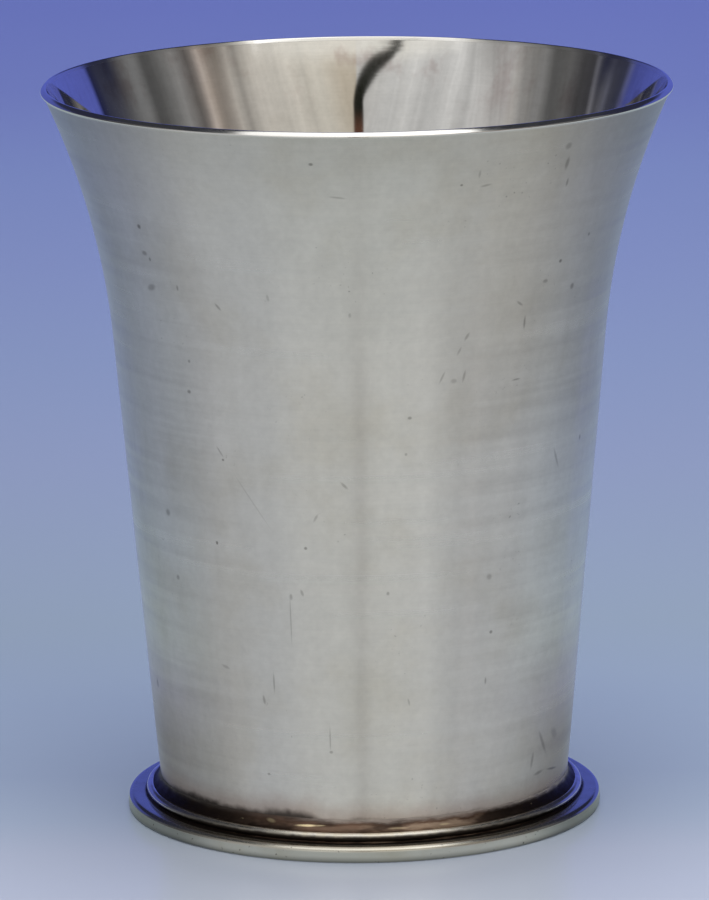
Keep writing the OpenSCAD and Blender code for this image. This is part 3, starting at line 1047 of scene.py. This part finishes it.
def studio_light():
    """Soft light from all round, built up from the lowest layer. The camera sees only paper."""
    n = Room("studio_light")
    tone = n.mix(n.fit(n.rise, -1, -9), tall_cards(n), low_light(n))
    tone = n.mix(n.fit(n.rise, 35.5, 41.5), tone, overhead(n))
    tone = soft_box(n, upright_stroke(n, tone))
    paper = n.mix(n.fit(n.y, -0.5, 0.5), PAPER_STOPS_WITH_SHADE[0][1], PAPER_STOPS_WITH_SHADE[-1][1])
    tone = n.mix(n.out("ShaderNodeLightPath", "Is Camera Ray"), tone, paper)
    light = n.out("ShaderNodeBackground", 0, {"Color": tone, "Strength": stage().light})
    n.add("ShaderNodeOutputWorld", {"Surface": light})


def paper_floor():
    """A round sheet of graded paper, pale in front of the cup and blue behind it, with painted
    shade beside the cup.
    """
    mesh = bpy.data.meshes.new("floor")
    ring = [(*(stage().floor_r * polar(math.tau * i / FLOOR_SIDES)), 0.0)
            for i in range(FLOOR_SIDES)]
    mesh.from_pydata(ring, [], [tuple(range(FLOOR_SIDES))])
    floor = bpy.data.objects.new("floor", mesh)
    bpy.context.scene.collection.objects.link(floor)
    floor.visible_glossy = False
    n = Finish("graded_paper")
    tone = n.stops(n.plus(n.y, PAPER_FRONT), PAPER_STOPS_WITH_SHADE, PAPER_STOPS_WITH_SHADE[-1][0])
    # Painted light: the paper darker on the left and brighter on the right, most near the cup
    painted_light_slope = n.fit(n.y, 40, 260, 0.045, 0.015)
    tone = n.tinted(tone, n.plus(n.times(n.even(n.x, -60, 60, -1.0, 1.0), painted_light_slope), 1.0))
    paper = n.out("ShaderNodeBsdfPrincipled", 0, {
        "Base Color": tone, "Roughness": 0.22, "Specular IOR Level": 0.4})
    ended = n.out("ShaderNodeMixShader", 0, {
        0: n.fit(n.radius, *PAPER_FADE), 1: paper, 2: n.out("ShaderNodeBsdfTransparent", 0)})
    n.add("ShaderNodeOutputMaterial", {"Surface": ended})
    mesh.materials.append(n.material)


def paper_lamp():
    """A wide disc of light high over the paper, that the silver doesn't mirror."""
    s = stage()
    data = bpy.data.lights.new("paper_lamp", "AREA")
    data.shape = "DISK"
    data.size = s.paper_lamp_size
    data.energy = s.paper_lamp
    lamp = bpy.data.objects.new("paper_lamp", data)
    lamp.location = (0.0, s.paper_lamp_y, s.paper_lamp_z)
    lamp.visible_glossy = False
    lamp.visible_camera = False
    bpy.context.scene.collection.objects.link(lamp)


def camera():
    """The camera, aimed and leant as its values say."""
    s = stage()
    data = bpy.data.cameras.new("camera")
    data.lens = s.lens
    data.sensor_width = CAMERA_FRAME
    data.clip_end = CAMERA_REACH
    ahead = Vector((0.0, math.cos(s.elevation), -math.sin(s.elevation)))
    right = Vector((1.0, 0.0, 0.0))
    up = right.cross(ahead)
    side = math.cos(s.roll) * right + math.sin(s.roll) * up
    top = math.cos(s.roll) * up - math.sin(s.roll) * right
    turned = Matrix((side, top, -ahead)).transposed().to_4x4()
    seat = bpy.data.objects.new("camera", data)
    seat.matrix_world = Matrix.Translation(Vector(s.aim) - ahead * s.distance) @ turned
    bpy.context.scene.collection.objects.link(seat)
    bpy.context.scene.camera = seat


# Operators

class JULEP_OT_stage(bpy.types.Operator):
    """Set up the camera, the paper underfoot and the light"""

    bl_idname = "julep.stage"
    bl_label = "Stage"

    def execute(self, context):
        context.scene.view_settings.view_transform = "Standard"
        camera()
        paper_floor()
        paper_lamp()
        studio_light()
        return {"FINISHED"}


class JULEP_OT_wall(bpy.types.Operator):
    """Turn the flared wall, satin outside and brighter inside"""

    bl_idname = "julep.wall"
    bl_label = "Wall"

    def execute(self, context):
        turn_piece("body_wall", wall_section, wall_outside(), wall_inside(),
                   dent=0.02 * MM, dents=90.0)
        return {"FINISHED"}


class JULEP_OT_lip(bpy.types.Operator):
    """Turn the round wire along the lip"""

    bl_idname = "julep.lip"
    bl_label = "Lip wire"

    def execute(self, context):
        turn_piece("lip_wire", lip_section, lip_bright(), dent=0.012 * MM,
                   dents=120.0)
        return {"FINISHED"}


class JULEP_OT_bottom(bpy.types.Operator):
    """Turn the domed bottom"""

    bl_idname = "julep.bottom"
    bl_label = "Bottom disc"

    def execute(self, context):
        turn_piece("bottom_disc", disc_section, bottom_satin(), dent=0.03 * MM,
                   dents=80.0)
        return {"FINISHED"}


class JULEP_OT_band(bpy.types.Operator):
    """Turn the flat band of the foot"""

    bl_idname = "julep.band"
    bl_label = "Foot band"

    def execute(self, context):
        turn_piece("foot_band", band_section, band_satin(), dent=0.01 * MM,
                   dents=200.0)
        return {"FINISHED"}


class JULEP_OT_bead(bpy.types.Operator):
    """Turn the bead that lies on the band"""

    bl_idname = "julep.bead"
    bl_label = "Foot bead"

    def execute(self, context):
        turn_piece("foot_bead", bead_section, bead_bright(), dent=0.015 * MM,
                   dents=160.0)
        return {"FINISHED"}


class JULEP_OT_solder(bpy.types.Operator):
    """Run the solder in the foot's corners and under the bottom"""

    bl_idname = "julep.solder"
    bl_label = "Solder"

    def execute(self, context):
        dark = solder_dark()
        for node, section in (("foot_solder", foot_solder_section),
                              ("groove_solder", groove_solder_section),
                              ("bottom_solder", bottom_solder_section)):
            turn_piece(node, section, dark, dent=0.06 * MM, dents=500.0)
        return {"FINISHED"}


class JULEP_PT_cup(bpy.types.Panel):
    """The cup's values, and a button for each piece"""

    bl_idname = "JULEP_PT_cup"
    bl_label = "Julep Cup"
    bl_space_type = "VIEW_3D"
    bl_region_type = "UI"
    bl_category = "Julep Cup"

    def draw(self, context):
        for group in (sizes(), finish(), stage()):
            box = self.layout.box()
            for name in group.__annotations__:
                box.prop(group, name)
        for operator in OPERATORS:
            self.layout.operator(operator.bl_idname)


GROUPS = {"julep_sizes": JulepSizes, "julep_finish": JulepFinish, "julep_stage": JulepStage}
OPERATORS = (JULEP_OT_stage, JULEP_OT_wall, JULEP_OT_lip, JULEP_OT_bottom, JULEP_OT_band,
             JULEP_OT_bead, JULEP_OT_solder)
CLASSES = (*GROUPS.values(), *OPERATORS, JULEP_PT_cup)


def register():
    for cls in CLASSES:
        bpy.utils.register_class(cls)
    for name, group in GROUPS.items():
        setattr(bpy.types.Scene, name, bpy.props.PointerProperty(type=group))


def unregister():
    for name in GROUPS:
        delattr(bpy.types.Scene, name)
    for cls in reversed(CLASSES):
        bpy.utils.unregister_class(cls)


def main():
    register()
    bpy.ops.julep.stage()
    bpy.ops.julep.wall()
    bpy.ops.julep.lip()
    bpy.ops.julep.bottom()
    bpy.ops.julep.band()
    bpy.ops.julep.bead()
    bpy.ops.julep.solder()


if __name__ == "__main__":
    main()
